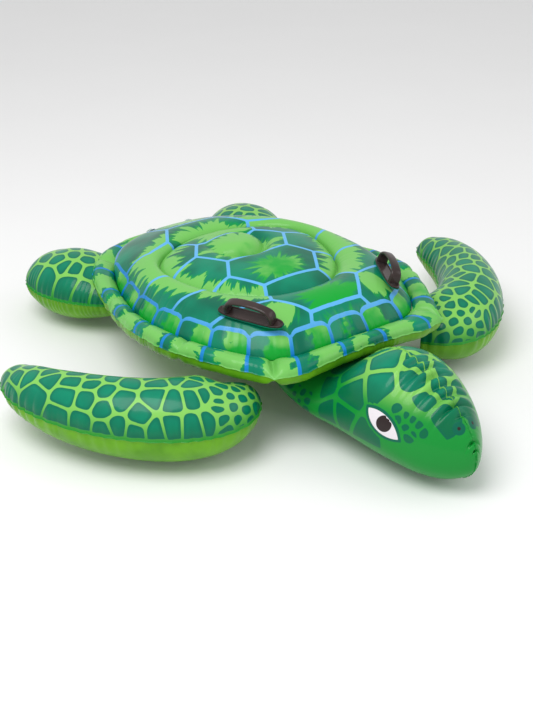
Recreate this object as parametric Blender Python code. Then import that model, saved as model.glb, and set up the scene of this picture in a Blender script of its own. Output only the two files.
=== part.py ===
"""Ride-on pool float shaped like a sea turtle: thin welded film panels round two air chambers,
two moulded grab handles and two push-in air valves.  Metres, +Z up.  The turtle faces -Y, its
left side is +X, and the origin is at the middle of the whole float's footprint, on the floor."""

import bpy
import bmesh
import numpy as np
from math import atan2, cos, degrees, exp, pi, radians, sin, sqrt
from mathutils import Matrix, Vector

# ---- driving dimensions -------------------------------------------------------------------
FILM = 0.0008               # thickness of every welded film panel
GAP = 0.0003                # clearance between panels that meet at a weld
AROUND = 48                 # divisions round the shell

RIM_HALF_HEIGHT = 0.023     # of the air tube that runs round the shell
RIM_Z_FRONT, RIM_Z_REAR = 0.203, 0.168      # height of the rim's seam
RIM_RISE_Y = (0.24, -0.20)                  # it climbs between these two y

CREASE = (0.208, 0.228)     # half axes of the weld that separates the seat from the big ring
SEAT_Y = 0.022              # centre of that oval
SHOULDER = 0.135            # how much fuller the oval is towards the rear
SHOULDER_AT, SHOULDER_SPREAD = 120.0, 28.0      # where that is, in degrees from the nose
CREASE_Z = 0.246
RING_BULGE = 0.050          # how far the big ring swells above its two welds
RING_FRONT_LIFT = 0.014     # extra swell of the big ring at the front
SEAT_SWELL = 0.046          # how far the seat swells above the crease
SEAT_SHARES = (0.08, 0.22, 0.36, 0.50, 0.64, 0.78, 0.89, 0.96, 1.0)
DOME_AT, DOME_R = (0.0, 0.120), 0.076       # round weld inside the seat, towards its rear
DOME_DIP, DOME_DIP_WIDTH = 0.014, 0.020     # depth and half width of the groove over that weld
RING_OVERHANG = 0.018       # how far its side wall leans out over the rim weld
BELLY_PROFILE = ((0.975, 0.93), (0.90, 0.79), (0.78, 0.58), (0.62, 0.37), (0.45, 0.19), (0.31, 0.06),
                 (0.22, 0.0))       # share of the weld's radius, share of its height
BAFFLE_INSET = 0.985        # share of the crease oval that the outer baffle follows
BAFFLE_TOPS = {"outer_ring_baffle": 0.242, "seat_baffle": 0.262}
BAFFLE_CLEARANCE = 0.004    # above the bottom panel
GUIDE_RISE = 0.20           # height above the rim of the guide that trims the limbs' roots

# outer seam of the rim, right half from the nose end to the tail end (x, y)
RIM_OUTLINE = ((0.0, -0.430), (0.10, -0.434), (0.20, -0.438), (0.245, -0.424), (0.270, -0.385),
               (0.340, -0.254), (0.376, -0.170), (0.387, -0.053), (0.376, 0.067), (0.350, 0.170),
               (0.330, 0.250), (0.296, 0.355), (0.245, 0.435), (0.145, 0.490), (0.0, 0.508))
# weld between the rim and the shell, rounder than the outer seam
WELD_OUTLINE = ((0.0, -0.378), (0.09, -0.378), (0.165, -0.372), (0.222, -0.342), (0.265, -0.285),
                (0.305, -0.210), (0.326, -0.130), (0.335, -0.040), (0.326, 0.065), (0.303, 0.165),
                (0.281, 0.240), (0.244, 0.325), (0.196, 0.385), (0.115, 0.433), (0.0, 0.450))

# front flipper: spine, half width and half height along it
FRONT_SPINE = ((0.285, -0.325), (0.390, -0.460), (0.702, -0.100), (0.650, 0.096))
FRONT_WIDTH = ((0.0, 0.050), (0.25, 0.083), (0.50, 0.091), (0.75, 0.076), (0.90, 0.055), (0.97, 0.033),
               (1.0, 0.010))
FRONT_INNER = ((0.0, 0.070), (0.25, 0.050), (0.45, 0.0), (1.0, 0.0))      # extra width under the shell
FRONT_HEIGHT = ((0.0, 0.050), (0.25, 0.086), (0.50, 0.092), (0.75, 0.074), (0.90, 0.048),
                (0.97, 0.026), (1.0, 0.0))
FRONT_Z = 0.110

# hind flipper
HIND_SPINE = ((0.200, 0.330), (0.255, 0.400), (0.300, 0.495), (0.338, 0.630))
HIND_WIDTH = ((0.0, 0.085), (0.25, 0.108), (0.50, 0.120), (0.75, 0.108), (0.92, 0.066), (1.0, 0.012))
HIND_HEIGHT = ((0.0, 0.046), (0.25, 0.070), (0.50, 0.088), (0.75, 0.080), (0.92, 0.046), (1.0, 0.0))
HIND_Z = 0.101
NO_EXTRA = ((0.0, 0.0), (1.0, 0.0))

# head and neck: y, top, bottom and half width of each section
HEAD_SECTIONS = ((-0.270, 0.145, 0.075, 0.150), (-0.330, 0.152, 0.058, 0.158), (-0.380, 0.160, 0.044, 0.158),
                 (-0.430, 0.176, 0.032, 0.153), (-0.475, 0.216, 0.024, 0.148), (-0.520, 0.246, 0.018, 0.144),
                 (-0.575, 0.260, 0.014, 0.138), (-0.635, 0.254, 0.012, 0.126), (-0.690, 0.231, 0.013, 0.107),
                 (-0.735, 0.203, 0.020, 0.083), (-0.770, 0.172, 0.036, 0.055), (-0.795, 0.142, 0.056, 0.027),
                 (-0.806, 0.120, 0.074, 0.006))
HEAD_WIDEST = 0.42          # height of the cheeks, as a share of each section
HEAD_RIDGE = 1.2            # above 1 draws the crown up towards the middle seam

# grab handle, moulded in one piece, on its own welded patch
HANDLE_AT = (0.206, -0.262)
HANDLE_TURN = 26.0          # toes in towards the head, degrees from +Y
HANDLE_LENGTH, HANDLE_WIDTH = 0.168, 0.038
PATCH_THICK, BASE_THICK = 0.0012, 0.0045
PATCH_MARGIN = 0.003        # how much longer and wider the patch is than the base
BOW_SPAN, BOW_RISE = 0.126, 0.040
BOW_WIDTH, BOW_THICK = 0.022, 0.007
BOW_SQUARE = 0.62           # below 1 gives the bow a flatter top and steeper feet
BOW_ROUND = 0.0016          # edge rounding

# push-in air valve: radii and lengths
VALVE_FLANGE_R, VALVE_FLANGE_T = 0.0150, 0.0020
STEM_R, STEM_BORE_R = 0.0052, 0.0038
STEM_ABOVE, STEM_BELOW = 0.0040, 0.0130
PLUG_R, PLUG_T, SPIGOT_R, SPIGOT_L = 0.0070, 0.0024, 0.0034, 0.0050
PLUG_EDGE = 0.0012          # chamfer round the plug's cap
RUNNING = 0.0004            # clearance round the sliding pieces
DRILL_REACH = 0.02          # of the guide that cuts the hole in the film, each way
FLAP_R, FLAP_T = 0.0046, 0.0008
STRAP_WIDTH, STRAP_THICK = 0.0040, 0.0010
STRAP_REACH, STRAP_DROP = 0.0045, 0.0032
VALVES = {"shell_valve": (172.0, 0.79), "limb_valve": (188.0, 0.79)}    # bearing from the nose, ring place

COLOURS = {
    "shell": ((0.02, 0.33, 0.16), 0.30), "lime": ((0.22, 0.48, 0.03), 0.32),
    "rim": ((0.08, 0.42, 0.14), 0.30), "flipper": ((0.10, 0.46, 0.12), 0.30),
    "head": ((0.03, 0.36, 0.08), 0.30), "film": ((0.75, 0.80, 0.72), 0.35),
    "handle": ((0.13, 0.10, 0.09), 0.42), "valve": ((0.80, 0.86, 0.84), 0.38),
}

for old in list(bpy.data.objects):
    bpy.data.objects.remove(old, do_unlink=True)


# ---- small tools ---------------------------------------------------------------------------
def material(name):
    found = bpy.data.materials.get(name)
    if found:
        return found
    colour, rough = COLOURS[name]
    made = bpy.data.materials.new(name)
    made.use_nodes = True
    shader = made.node_tree.nodes["Principled BSDF"]
    shader.inputs["Base Color"].default_value = (*colour, 1.0)
    shader.inputs["Roughness"].default_value = rough
    shader.inputs["Metallic"].default_value = 0.0
    return made


def new_object(bm, name, finish_name):
    """Turn a bmesh into a named, smooth-shaded object with its own material."""
    mesh = bpy.data.meshes.new(name)
    bm.to_mesh(mesh)
    bm.free()
    mesh.shade_smooth()
    mesh.materials.append(material(finish_name))
    made = bpy.data.objects.new(name, mesh)
    bpy.context.scene.collection.objects.link(made)
    return made


def finish(bm, name, finish_name):
    """Object from a closed bmesh, with its faces pointing out."""
    bmesh.ops.recalc_face_normals(bm, faces=bm.faces)
    return new_object(bm, name, finish_name)


def along(table, t):
    """Smooth reading of a table of (station, value) pairs."""
    xs, ys = np.array(table, float).T
    slope = np.gradient(ys, xs)
    i = int(np.clip(np.searchsorted(xs, t) - 1, 0, len(xs) - 2))
    step = xs[i + 1] - xs[i]
    u = (t - xs[i]) / step
    return ((2 * u**3 - 3 * u**2 + 1) * ys[i] + (u**3 - 2 * u**2 + u) * step * slope[i]
            + (3 * u**2 - 2 * u**3) * ys[i + 1] + (u**3 - u**2) * step * slope[i + 1])


def radius_from(outline):
    """Radius about the shell's middle against bearing, for a half outline mirrored in x."""
    half = np.array(outline, float)
    bearing = np.arctan2(half[:, 0], -half[:, 1])
    table = tuple(zip(bearing, np.hypot(half[:, 0], half[:, 1])))
    return lambda turn: along(table, abs((turn + pi) % (2 * pi) - pi))


rim_radius = radius_from(RIM_OUTLINE)
weld_radius = radius_from(WELD_OUTLINE)


def crease_radius(turn):
    """Distance from the shell's middle to the oval crease, whose centre sits a little aft."""
    dx, dy = sin(turn), -cos(turn)
    a, b = CREASE
    p = (dx / a) ** 2 + (dy / b) ** 2
    q = dy * SEAT_Y / b**2
    oval = (q + sqrt(q * q - p * ((SEAT_Y / b) ** 2 - 1))) / p
    bearing = degrees(atan2(abs(dx), -dy))
    return oval * (1 + SHOULDER * exp(-((bearing - SHOULDER_AT) / SHOULDER_SPREAD) ** 2))


def smooth_step(value, start, end):
    u = min(max((value - start) / (end - start), 0.0), 1.0)
    return u * u * (3 - 2 * u)


def seam_z(y):
    return RIM_Z_REAR + (RIM_Z_FRONT - RIM_Z_REAR) * smooth_step(y, *RIM_RISE_Y)


def at(turn, radius, z):
    return Vector((radius * sin(turn), -radius * cos(turn), z))


def seat_z(x, y):
    """Height of the seat: swollen inside the crease, with a groove over the round weld."""
    share = min(sqrt(x * x + y * y) / crease_radius(atan2(x, -y)), 1.0)
    from_weld = abs(sqrt((x - DOME_AT[0]) ** 2 + (y - DOME_AT[1]) ** 2) - DOME_R)
    groove = DOME_DIP * exp(-(from_weld / DOME_DIP_WIDTH) ** 2)
    return CREASE_Z + SEAT_SWELL * (1 - share**3.2) ** 0.55 - groove * (1 - share)


def ring_point(turn, u):
    """Point of the big ring: u is 0 at the crease, 1 at the rim weld."""
    inner, outer = crease_radius(turn), weld_radius(turn) - GAP * 3
    sweep = pi * u
    radius = (inner + outer) / 2 - (outer - inner) / 2 * cos(sweep)
    weld_z = seam_z(-outer * cos(turn)) + GAP
    swell = RING_BULGE + RING_FRONT_LIFT * max(cos(turn), 0.0) ** 2
    base = CREASE_Z + (weld_z - CREASE_Z) * (1 - cos(sweep)) / 2
    outer_half = max(-cos(sweep), 0.0)
    radius += RING_OVERHANG * sin(2 * sweep) ** 2 * (outer_half > 0)
    return at(turn, radius, base + swell * max(sin(sweep), 0.0) ** (1 - 0.3 * outer_half))


def skin(name, grid, finish_name, wrap=False, cap=False, inward=True):
    """Solid film panel from a grid of points; the film's thickness goes to the inner side."""
    bm = bmesh.new()
    rows = [[bm.verts.new(point) for point in row] for row in grid]
    pairs = list(zip(rows, rows[1:])) + ([(rows[-1], rows[0])] if wrap else [])
    for here, there in pairs:
        for a, b, c, d in zip(here, here[1:], there[1:], there):
            bm.faces.new((a, b, c, d))
    if cap:
        bm.faces.new([row[0] for row in rows])
    bmesh.ops.recalc_face_normals(bm, faces=bm.faces)
    bm.faces.ensure_lookup_table()
    centre = sum((v.co for v in bm.verts), Vector()) / len(bm.verts)
    outward = sum(f.normal.dot(f.calc_center_median() - centre) * f.calc_area() for f in bm.faces)
    if outward < 0:
        bmesh.ops.reverse_faces(bm, faces=bm.faces)
    made = new_object(bm, name, finish_name)
    wall = made.modifiers.new("film", "SOLIDIFY")
    wall.thickness = FILM
    wall.offset = -1.0 if inward else 1.0
    wall.use_even_offset = True
    return made


def cut(target, cutter):
    trim = target.modifiers.new("cut", "BOOLEAN")
    trim.operation = "DIFFERENCE"
    trim.solver = "EXACT"
    trim.object = cutter


def hide(guide):
    guide.hide_render = True
    guide.display_type = "WIRE"
    return guide


def turned(name, profile, finish_name, sides=24):
    """Closed solid of revolution about Z from a closed (radius, z) profile."""
    bm = bmesh.new()
    loop = [bm.verts.new((r, 0.0, z)) for r, z in profile]
    edges = [bm.edges.new((a, b)) for a, b in zip(loop, loop[1:] + loop[:1])]
    bmesh.ops.spin(bm, geom=loop + edges, axis=(0, 0, 1), cent=(0, 0, 0), angle=2 * pi, steps=sides,
                   use_merge=True)
    bmesh.ops.remove_doubles(bm, verts=bm.verts, dist=1e-6)
    return finish(bm, name, finish_name)


# ---- shell and rim ---------------------------------------------------------------------------
TURNS = [2 * pi * i / AROUND for i in range(AROUND)]
RING_STEPS, RIM_STEPS = 9, 5


def shell_top():
    grid = []
    for turn in TURNS:
        seat = [at(turn, crease_radius(turn) * k, 0.0) for k in SEAT_SHARES]
        for point in seat:
            point.z = seat_z(point.x, point.y)
        ring = [ring_point(turn, i / RING_STEPS) for i in range(1, RING_STEPS + 1)]
        grid.append(seat + ring)
    return skin("shell_top_panel", grid, "shell", wrap=True, cap=True)


def belly_row(turn, grow=0.0):
    weld = weld_radius(turn) - GAP * 3
    top = seam_z(-weld * cos(turn)) - GAP
    row = [at(turn, weld + grow, top)]
    row += [at(turn, weld * k + grow, top * f - (grow if f < 0.1 else 0.0)) for k, f in BELLY_PROFILE]
    return row


def shell_bottom():
    grid = [belly_row(turn)[::-1] for turn in TURNS]
    return skin("shell_bottom_panel", grid, "lime", wrap=True, cap=True)


def rim_row(turn, side, grow=0.0):
    """Half section of the rim tube, from its inner weld to the outer seam; side +1 is the top."""
    inner, outer = weld_radius(turn) + GAP * 3, rim_radius(turn)
    z_in, z_out = seam_z(-inner * cos(turn)), seam_z(-outer * cos(turn))
    row = []
    for i in range(RIM_STEPS + 1):
        sweep = pi * i / RIM_STEPS
        mix = (1 - cos(sweep)) / 2
        radius = inner + (outer - inner) * mix
        z = z_in + (z_out - z_in) * mix + side * ((RIM_HALF_HEIGHT + grow) * sin(sweep) + GAP)
        row.append(at(turn, radius + grow * mix, z))
    return row


def rim():
    skin("rim_top_panel", [rim_row(turn, +1) for turn in TURNS], "rim", wrap=True, inward=False)
    skin("rim_bottom_panel", [rim_row(turn, -1) for turn in TURNS], "lime", wrap=True, inward=False)


def hull_guide():
    """Closed solid a little bigger than the shell's underside and rim, which trims the limbs' roots."""
    grow = FILM * 2
    bm = bmesh.new()
    rows = []
    for turn in TURNS:
        under = belly_row(turn, grow)[:0:-1] + rim_row(turn, -1, grow)[2:]
        top = under[-1] + Vector((0, 0, GUIDE_RISE))
        rows.append([bm.verts.new(p) for p in under + [top]])
    for here, there in zip(rows, rows[1:] + rows[:1]):
        for a, b, c, d in zip(here, here[1:], there[1:], there):
            bm.faces.new((a, b, c, d))
    bm.faces.new([row[0] for row in rows])
    bm.faces.new([row[-1] for row in rows])
    return hide(finish(bm, "hull_guide", "film"))


def belly_z(x, y):
    """Height of the shell's bottom panel above a point of the plan."""
    turn = atan2(x, -y)
    weld = weld_radius(turn) - GAP * 3
    shares = [k for k, f in BELLY_PROFILE][::-1] + [1.0]
    heights = [f for k, f in BELLY_PROFILE][::-1] + [1.0]
    return float(np.interp(sqrt(x * x + y * y) / weld, shares, heights)) * seam_z(-weld * cos(turn))


def baffles():
    """Film walls inside the shell that hold the top and bottom panels together at the welds."""
    middle = Vector((*DOME_AT, 0.0))
    plans = {"outer_ring_baffle": [at(turn, crease_radius(turn) * BAFFLE_INSET, 0.0) for turn in TURNS[::2]],
             "seat_baffle": [middle + at(turn, DOME_R, 0.0) for turn in TURNS[::4]]}
    for name, plan in plans.items():
        top = BAFFLE_TOPS[name]
        grid = []
        for point in plan:
            low = belly_z(point.x, point.y) + BAFFLE_CLEARANCE
            grid.append([Vector((point.x, point.y, low + (top - low) * k / 2)) for k in range(3)])
        skin(name, grid, "film", wrap=True)


# ---- limbs -------------------------------------------------------------------------------------
def bezier(points, t):
    p = [Vector((x, y, 0.0)) for x, y in points]
    k = 1 - t
    return p[0] * k**3 + p[1] * 3 * t * k * k + p[2] * 3 * t * t * k + p[3] * t**3


def limb(name, spine, widths, heights, inner, z, side, guide, stations, across=7):
    for panel, up, finish_name in (("top", +1, "flipper"), ("bottom", -1, "lime")):
        grid = []
        for i in range(stations + 1):
            t = i / stations
            here = bezier(spine, t)
            ahead = (bezier(spine, min(t + 0.01, 1.0)) - bezier(spine, max(t - 0.01, 0.0))).normalized()
            out = Vector((ahead.y, -ahead.x, 0.0))
            wide, tall = along(widths, t), along(heights, t)
            row = []
            for k in range(across + 1):
                sweep = pi * k / across
                reach = wide if cos(sweep) > 0 else wide + along(inner, t)
                height = z + up * (tall * sin(sweep) + GAP * 2)
                point = here + out * (reach * cos(sweep)) + Vector((0, 0, height))
                row.append(Vector((point.x * side, point.y, point.z)))
            grid.append(row)
        made = skin(f"{name}_{panel}_panel", grid, finish_name, inward=False)
        cut(made, guide)


def limbs(guide):
    for word, side in (("left", +1), ("right", -1)):
        limb(f"front_flipper_{word}", FRONT_SPINE, FRONT_WIDTH, FRONT_HEIGHT, FRONT_INNER, FRONT_Z, side,
             guide, stations=16)
        limb(f"hind_flipper_{word}", HIND_SPINE, HIND_WIDTH, HIND_HEIGHT, NO_EXTRA, HIND_Z, side,
             guide, stations=11)


def head(guide, across=9):
    """Two side panels that meet on the middle plane, over the crown and under the chin."""
    for word, side in (("left", +1), ("right", -1)):
        grid = []
        for y, top, low, wide in HEAD_SECTIONS:
            middle = low + (top - low) * HEAD_WIDEST
            row = []
            for k in range(across + 1):
                sweep = pi / 2 - pi * k / across
                rise = (top - middle if sweep > 0 else middle - low) * sin(sweep)
                spread = max(cos(sweep), 0.0) ** (HEAD_RIDGE if sweep > 0 else 1.0)
                row.append(Vector((side * (wide * spread + GAP), y, middle + rise)))
            grid.append(row)
        made = skin(f"head_{word}_panel", grid, "head", inward=False)
        cut(made, guide)


# ---- grab handles --------------------------------------------------------------------------------
def stadium(length, width, steps=8):
    """Outline of a plate with round ends, long along y."""
    reach, r = length / 2 - width / 2, width / 2
    pts = [(r * cos(a), reach + r * sin(a)) for a in np.linspace(0, pi, steps + 1)]
    return pts + [(r * cos(a), -reach + r * sin(a)) for a in np.linspace(pi, 2 * pi, steps + 1)]


def plate(name, length, width, low, high, finish_name):
    bm = bmesh.new()
    bm.faces.new([bm.verts.new((x, y, low)) for x, y in stadium(length, width)])
    grown = bmesh.ops.extrude_face_region(bm, geom=bm.faces[:])
    bmesh.ops.translate(bm, verts=[v for v in grown["geom"] if isinstance(v, bmesh.types.BMVert)],
                        vec=(0, 0, high - low))
    return finish(bm, name, finish_name)


def close_strap(bm, rings):
    """Walls between neighbouring four-cornered rings, and a face at each end."""
    for here, there in zip(rings, rings[1:]):
        for k in range(4):
            bm.faces.new((here[k], here[(k + 1) % 4], there[(k + 1) % 4], there[k]))
    bm.faces.new(rings[0])
    bm.faces.new(rings[-1])


def bow(name, foot_z):
    """Arched strap whose two feet stand on the base plate."""
    bm = bmesh.new()
    rings = []
    steps = 16
    for i in range(steps + 1):
        sweep = pi * i / steps
        for_y, for_z = -cos(sweep), max(sin(sweep), 0.0) ** BOW_SQUARE
        y, z = BOW_SPAN / 2 * for_y, foot_z + BOW_RISE * for_z
        inner_y = (BOW_SPAN / 2 - BOW_THICK) * for_y
        inner_z = foot_z + (BOW_RISE - BOW_THICK) * for_z
        w = BOW_WIDTH / 2
        corners = ((-w, y, z), (w, y, z), (w, inner_y, inner_z), (-w, inner_y, inner_z))
        rings.append([bm.verts.new(corner) for corner in corners])
    close_strap(bm, rings)
    made = finish(bm, name, "handle")
    round_over = made.modifiers.new("round", "BEVEL")
    round_over.width = BOW_ROUND
    round_over.segments = 1
    round_over.limit_method = "ANGLE"
    return made


def top_of_ring(x, y):
    """Height of the big ring's surface above a point of the plan."""
    turn, radius = atan2(x, -y), sqrt(x * x + y * y)
    low, high = 0.0, 0.75
    for _ in range(24):
        middle = (low + high) / 2
        point = ring_point(turn, middle)
        if sqrt(point.x**2 + point.y**2) < radius:
            low = middle
        else:
            high = middle
    return point.z


def handle_seat():
    """Frame of the left handle's patch: square to the ring, clear of its highest point."""
    x, y = HANDLE_AT
    step = 0.01
    normal = Vector((top_of_ring(x - step, y) - top_of_ring(x + step, y),
                     top_of_ring(x, y - step) - top_of_ring(x, y + step), 2 * step)).normalized()
    ahead = Vector((sin(radians(HANDLE_TURN)), cos(radians(HANDLE_TURN)), 0.0))
    ahead = (ahead - normal * ahead.dot(normal)).normalized()
    frame = Matrix((ahead.cross(normal), ahead, normal)).transposed().to_4x4()
    frame.translation = Vector((x, y, top_of_ring(x, y)))
    highest = 0.0
    for px, py in stadium(HANDLE_LENGTH + PATCH_MARGIN, HANDLE_WIDTH + PATCH_MARGIN):
        for share in (0.0, 0.25, 0.5, 0.75, 1.0):
            spot = frame @ Vector((px * share, py * share, 0.0))
            highest = max(highest, (top_of_ring(spot.x, spot.y) - spot.z) * normal.z)
    frame.translation += normal * (highest + GAP)
    return frame


def handles():
    seat = handle_seat()
    mirrored = Matrix.Diagonal((-1, 1, 1, 1)) @ seat @ Matrix.Diagonal((-1, 1, 1, 1))
    grown = (HANDLE_LENGTH + PATCH_MARGIN, HANDLE_WIDTH + PATCH_MARGIN)
    for word, frame in (("left", seat), ("right", mirrored)):
        mount = bpy.data.objects.new(f"handle_{word}_mount", None)
        bpy.context.scene.collection.objects.link(mount)
        mount.matrix_world = frame
        base_low = PATCH_THICK + GAP
        base_high = base_low + BASE_THICK
        patch = plate(f"handle_{word}_patch", *grown, 0.0, PATCH_THICK, "film")
        base = plate(f"handle_{word}_base", HANDLE_LENGTH, HANDLE_WIDTH, base_low, base_high, "handle")
        grip = bow(f"handle_{word}_grip", base_high + GAP)
        for piece in (patch, base, grip):
            piece.parent = mount


# ---- air valves -----------------------------------------------------------------------------------
def valve(name, bearing, place, panel):
    turn = radians(bearing)
    seat = ring_point(turn, place)
    tangent_u = ring_point(turn, place + 0.01) - ring_point(turn, place - 0.01)
    tangent_t = ring_point(turn + 0.01, place) - ring_point(turn - 0.01, place)
    axis = tangent_t.cross(tangent_u).normalized()
    if axis.dot(at(turn, 1.0, 0.0)) < 0:
        axis.negate()
    level = axis.cross(Vector((0, 0, 1))).normalized()
    frame = Matrix((level, axis.cross(level), axis)).transposed().to_4x4()
    frame.translation = seat + axis * GAP

    under, over = 0.0, VALVE_FLANGE_T
    hole = STEM_R + RUNNING
    turned(f"{name}_flange", ((hole, under), (VALVE_FLANGE_R, under), (VALVE_FLANGE_R, over * 0.6),
                              (VALVE_FLANGE_R - 0.002, over), (hole, over)), "valve").matrix_world = frame
    top, low = over + STEM_ABOVE, -STEM_BELOW
    tube = ((STEM_BORE_R, low), (STEM_R, low), (STEM_R, top), (STEM_BORE_R, top))
    turned(f"{name}_stem", tube, "valve").matrix_world = frame
    cap_low = top + GAP
    cap_high = cap_low + PLUG_T
    cap = ((0.0, cap_low - SPIGOT_L), (SPIGOT_R, cap_low - SPIGOT_L), (SPIGOT_R, cap_low), (PLUG_R, cap_low),
           (PLUG_R, cap_low + PLUG_T * 0.6), (PLUG_R - PLUG_EDGE, cap_high), (0.0, cap_high))
    turned(f"{name}_plug", cap, "valve").matrix_world = frame
    strap(f"{name}_tether", cap_low).matrix_world = frame
    flap_top = low - GAP
    flap = turned(f"{name}_check_flap", ((0.0, flap_top - FLAP_T), (FLAP_R, flap_top - FLAP_T),
                                         (FLAP_R, flap_top), (0.0, flap_top)), "valve", sides=16)
    flap.data.transform(Matrix.Translation((FLAP_R, 0, -flap_top)))     # origin on its hinge edge
    flap.matrix_world = frame @ Matrix.Translation((-FLAP_R, 0, flap_top))
    drill = ((0.0, -DRILL_REACH), (hole, -DRILL_REACH), (hole, DRILL_REACH), (0.0, DRILL_REACH))
    opening = hide(turned(f"{name}_hole_guide", drill, "valve"))
    opening.matrix_world = frame
    cut(panel, opening)


def strap(name, z):
    """Short flexible strap from the plug's edge, round and down beside the stem."""
    bm = bmesh.new()
    half, steps = STRAP_WIDTH / 2, 8
    rings = []
    for i in range(steps + 1):
        sweep = pi * i / steps
        drop = (1 - cos(sweep)) / 2 * STRAP_DROP
        centre = Vector((PLUG_R + GAP + STRAP_REACH * sin(sweep), 0, z + PLUG_T / 2 - drop))
        normal = Vector((sin(sweep), 0, cos(sweep)))
        section = ((-half, 0), (half, 0), (half, -STRAP_THICK), (-half, -STRAP_THICK))
        rings.append([bm.verts.new(centre + Vector((0, w, 0)) + normal * t) for w, t in section])
    close_strap(bm, rings)
    return finish(bm, name, "valve")


def settle():
    """Stand the float on the floor with the middle of its footprint at the origin."""
    bpy.context.view_layer.update()
    graph = bpy.context.evaluated_depsgraph_get()
    corners = []
    for piece in bpy.context.scene.objects:
        if piece.type == "MESH" and not piece.hide_render:
            seen = piece.evaluated_get(graph)
            corners += [piece.matrix_world @ v.co for v in seen.data.vertices]
    pts = np.array([tuple(c) for c in corners])
    low, high = pts.min(0), pts.max(0)
    move = Vector((-(low[0] + high[0]) / 2, -(low[1] + high[1]) / 2, -low[2]))
    for piece in bpy.context.scene.objects:
        if piece.parent is None:
            piece.matrix_world = Matrix.Translation(move) @ piece.matrix_world
    return move, high - low


top_panel = shell_top()
shell_bottom()
rim()
baffles()
guide = hull_guide()
limbs(guide)
head(guide)
handles()
for valve_name, (bearing, place) in VALVES.items():
    valve(valve_name, bearing, place, top_panel)
moved, size = settle()
print("moved by", [round(v, 5) for v in moved], "size", [round(float(v), 4) for v in size])
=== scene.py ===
import bpy
import bmesh
import math
import numpy as np
from mathutils import Matrix, Vector


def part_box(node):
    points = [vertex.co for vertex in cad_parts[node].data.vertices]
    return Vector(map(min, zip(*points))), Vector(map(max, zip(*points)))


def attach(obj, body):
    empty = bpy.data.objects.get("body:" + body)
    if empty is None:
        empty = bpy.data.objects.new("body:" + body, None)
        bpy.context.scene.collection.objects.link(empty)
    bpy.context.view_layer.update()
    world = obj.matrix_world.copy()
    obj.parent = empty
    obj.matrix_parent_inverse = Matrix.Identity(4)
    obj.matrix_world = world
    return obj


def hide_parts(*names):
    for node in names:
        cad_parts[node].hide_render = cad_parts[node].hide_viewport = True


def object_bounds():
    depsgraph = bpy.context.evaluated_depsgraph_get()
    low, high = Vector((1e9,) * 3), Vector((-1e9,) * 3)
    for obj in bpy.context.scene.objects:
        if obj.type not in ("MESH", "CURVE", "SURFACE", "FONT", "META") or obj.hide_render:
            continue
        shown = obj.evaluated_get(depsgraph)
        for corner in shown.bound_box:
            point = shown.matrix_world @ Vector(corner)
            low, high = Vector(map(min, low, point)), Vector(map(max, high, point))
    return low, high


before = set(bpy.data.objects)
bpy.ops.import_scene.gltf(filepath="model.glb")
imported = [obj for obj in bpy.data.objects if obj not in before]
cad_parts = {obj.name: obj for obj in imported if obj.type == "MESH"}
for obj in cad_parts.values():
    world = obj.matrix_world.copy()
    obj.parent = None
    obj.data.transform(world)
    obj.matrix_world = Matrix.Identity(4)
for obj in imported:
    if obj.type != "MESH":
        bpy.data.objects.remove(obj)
cadLow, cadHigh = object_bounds()
print("frame loaded:", len(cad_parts), "nodes")

# outlines in the shell's own plan, with the nose towards -y
plan = {
    "rimOutline": ((0.0, -0.430), (0.10, -0.434), (0.20, -0.438), (0.245, -0.424), (0.270, -0.385),
                   (0.340, -0.254), (0.376, -0.170), (0.387, -0.053), (0.376, 0.067), (0.350, 0.170),
                   (0.330, 0.250), (0.296, 0.355), (0.245, 0.435), (0.145, 0.490), (0.0, 0.508)),
    "weldOutline": ((0.0, -0.378), (0.09, -0.378), (0.165, -0.372), (0.222, -0.342), (0.265, -0.285),
                    (0.305, -0.210), (0.326, -0.130), (0.335, -0.040), (0.326, 0.065), (0.303, 0.165),
                    (0.281, 0.240), (0.244, 0.325), (0.196, 0.385), (0.115, 0.433), (0.0, 0.450)),
    "seamFront": 0.203, "seamRear": 0.168, "riseStart": 0.24, "riseEnd": -0.20,
    "creaseAcross": 0.208, "creaseAlong": 0.228, "creaseY": 0.022, "creaseZ": 0.246,
    "shoulder": 0.135, "shoulderAt": 120.0, "shoulderSpread": 28.0,     # the seat is fuller towards the rear
    "gap": 0.0002,          # clearance kept at the welds
    "film": 0.0005,
    "rootDepth": 0.012,     # how far the limbs' roots go on inside the shell
}
wrinkle = {
    # how the grooves along a weld wander, and how unlike each other they are
    "swing": 0.33, "swingRate": 1.7, "drift": 0.25, "driftRate": 0.61, "sharpness": 3, "fade": 1.5,
    "shortest": 0.35, "lengthChange": 0.95, "faintest": 0.3, "depthChange": 0.7,
    "sideShift": 0.04,      # keeps the left and right of a round weld from being quite alike
}
# the plan's middle stands where the CAD's shell has it
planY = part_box("shell_bottom_panel")[0].y + plan["gap"] - plan["weldOutline"][0][1]


def reading(table, t):
    # smooth reading of (station, value) pairs
    xs, ys = np.array(table, float).T
    slope = np.gradient(ys, xs)
    i = np.clip(np.searchsorted(xs, t) - 1, 0, len(xs) - 2)
    step = xs[i + 1] - xs[i]
    k = (t - xs[i]) / step
    return ((2 * k**3 - 3 * k**2 + 1) * ys[i] + (k**3 - 2 * k**2 + k) * step * slope[i]
            + (3 * k**2 - 2 * k**3) * ys[i + 1] + (k**3 - k**2) * step * slope[i + 1])


def radiusFrom(outline):
    half = np.array(outline, float)
    table = np.stack([np.arctan2(half[:, 0], -half[:, 1]), np.hypot(half[:, 0], half[:, 1])], 1)
    return lambda turn: reading(table, np.abs((turn + math.pi) % (2 * math.pi) - math.pi))


rimRadius = radiusFrom(plan["rimOutline"])
weldRadius = radiusFrom(plan["weldOutline"])


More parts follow.
